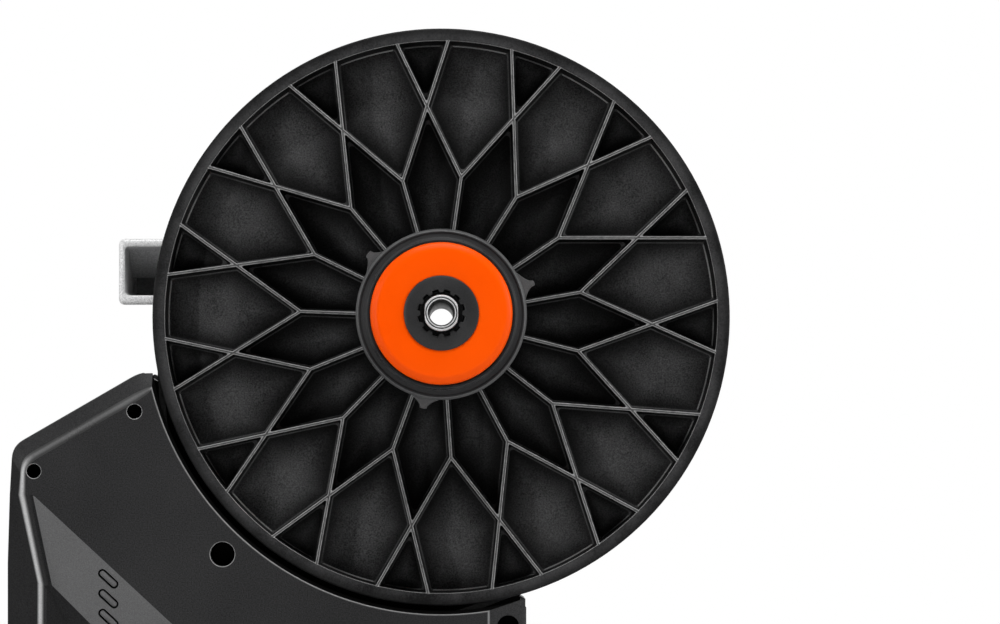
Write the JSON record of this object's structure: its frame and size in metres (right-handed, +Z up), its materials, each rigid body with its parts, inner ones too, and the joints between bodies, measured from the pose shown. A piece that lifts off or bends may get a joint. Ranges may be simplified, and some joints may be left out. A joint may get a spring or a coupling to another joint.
{
  "type": "direct drive bike trainer",
  "caption": "Free-standing bike trainer: a large ribbed belt wheel with a freehub and sprocket over a cast frame with flywheel, casing, handle and folding rear legs.",
  "frame": {"origin": "centre of the footprint, on the floor", "axes": "+X towards the bike's front wheel, +Y away from the drive side along the axle, +Z up"},
  "size_m": [0.6327, 0.6282, 0.4883],
  "materials": {
    "black_plastic": "fine grained",
    "cover_plastic": "satin",
    "guard_plastic": "satin",
    "orange_plastic": "satin",
    "silver_paint": "fine textured",
    "steel": "turned",
    "dark_steel": "blackened",
    "aluminium": "anodised",
    "rubber": "matt",
    "board": "solder mask",
    "copper": "enamelled winding wire",
    "lens": "frosted"
  },
  "bodies": {
    "root": {"axle": "steel", "axle_end_cap_drive": "steel", "axle_end_cap_far": "steel", "axle_nut": "dark_steel", "base_beam": "silver_paint", "brake_coil": "copper", "brake_core": "dark_steel", "carry_handle": "silver_paint", "control_board": "board", "cover_screw_crown": "dark_steel", "cover_screw_front": "dark_steel", "cover_screw_middle": "dark_steel", "cover_screw_shoulder": "dark_steel", "crossbar_plug_drive": "black_plastic", "crossbar_plug_far": "black_plastic", "drive_belt": "rubber", "drive_side_cover": "cover_plastic", "far_side_cover": "cover_plastic", "flywheel_bearing_front": "dark_steel", "flywheel_bearing_rear": "dark_steel", "front_crossbar": "silver_paint", "front_pad_drive": "rubber", "front_pad_far": "rubber", "handle_screw_1": "dark_steel", "handle_screw_2": "dark_steel", "hinge_bracket": "silver_paint", "hinge_pin_drive": "steel", "hinge_pin_far": "steel", "indicator_lens_1": "lens", "indicator_lens_2": "lens", "indicator_lens_3": "lens", "main_frame": "silver_paint", "power_inlet": "black_plastic", "speed_sensor": "black_plastic", "tensioner_bolt": "dark_steel", "tensioner_bracket": "steel"},
    "pulley_body": {"drive_pulley": "black_plastic", "pulley_hub": "aluminium", "pulley_bearing_front": "dark_steel", "pulley_bearing_rear": "dark_steel"},
    "freehub_assembly": {"freehub_body": "aluminium", "sprocket_14t": "steel", "sprocket_outer_plate": "orange_plastic", "sprocket_inner_guard": "guard_plastic", "lockring": "guard_plastic", "freehub_spacer": "aluminium", "freehub_bearing_outer": "dark_steel", "freehub_bearing_inner": "dark_steel"},
    "flywheel_rotor": {"flywheel": "dark_steel", "flywheel_shaft": "steel", "belt_pulley": "aluminium"},
    "idler_assembly": {"idler_roller": "black_plastic", "idler_bearing": "dark_steel"},
    "drive_leg": {"leg_drive": "silver_paint"},
    "far_leg": {"leg_far": "silver_paint"},
    "drive_knob": {"leg_knob_drive": "black_plastic"},
    "far_knob": {"leg_knob_far": "black_plastic"},
    "drive_foot": {"levelling_foot_drive": "rubber"},
    "far_foot": {"levelling_foot_far": "rubber"}
  },
  "joints": [
    {"name": "flywheel_spin", "type": "hinge", "parent": "root", "child": "flywheel_rotor", "pos_m": [-0.09523, 0, 0.155], "axis": [0, 1, 0], "continuous": true},
    {"name": "wheel_spin", "type": "hinge", "parent": "root", "child": "pulley_body", "pos_m": [0.01677, 0, 0.34], "axis": [0, 1, 0], "continuous": true},
    {"name": "freehub_spin", "type": "hinge", "parent": "pulley_body", "child": "freehub_assembly", "pos_m": [0.01677, 0, 0.34], "axis": [0, 1, 0], "continuous": true},
    {"name": "idler_spin", "type": "hinge", "parent": "root", "child": "idler_assembly", "pos_m": [-0.01912, 0, 0.15347], "axis": [0, 1, 0], "continuous": true},
    {"name": "leg_drive_fold", "type": "hinge", "parent": "root", "child": "drive_leg", "pos_m": [-0.23123, -0.062, 0.035], "axis": [0, 0, 1], "range_deg": [0, 105]},
    {"name": "leg_far_fold", "type": "hinge", "parent": "root", "child": "far_leg", "pos_m": [-0.23123, 0.062, 0.035], "axis": [0, 0, -1], "range_deg": [0, 105]},
    {"name": "knob_drive_turn", "type": "hinge", "parent": "root", "child": "drive_knob", "pos_m": [-0.23123, -0.062, 0.063], "axis": [0, 0, 1], "range_deg": [0, 270]},
    {"name": "knob_far_turn", "type": "hinge", "parent": "root", "child": "far_knob", "pos_m": [-0.23123, 0.062, 0.063], "axis": [0, 0, 1], "range_deg": [0, 270]},
    {"name": "foot_drive_level", "type": "slide", "parent": "drive_leg", "child": "drive_foot", "axis": [0, 0, -1], "range_m": [0, 0.01]},
    {"name": "foot_far_level", "type": "slide", "parent": "far_leg", "child": "far_foot", "axis": [0, 0, -1], "range_m": [0, 0.01]}
  ],
  "couplings": [
    {"joint": "wheel_spin", "follows": "flywheel_spin", "ratio": 0.1501},
    {"joint": "idler_spin", "follows": "flywheel_spin", "ratio": -1.3774}
  ]
}
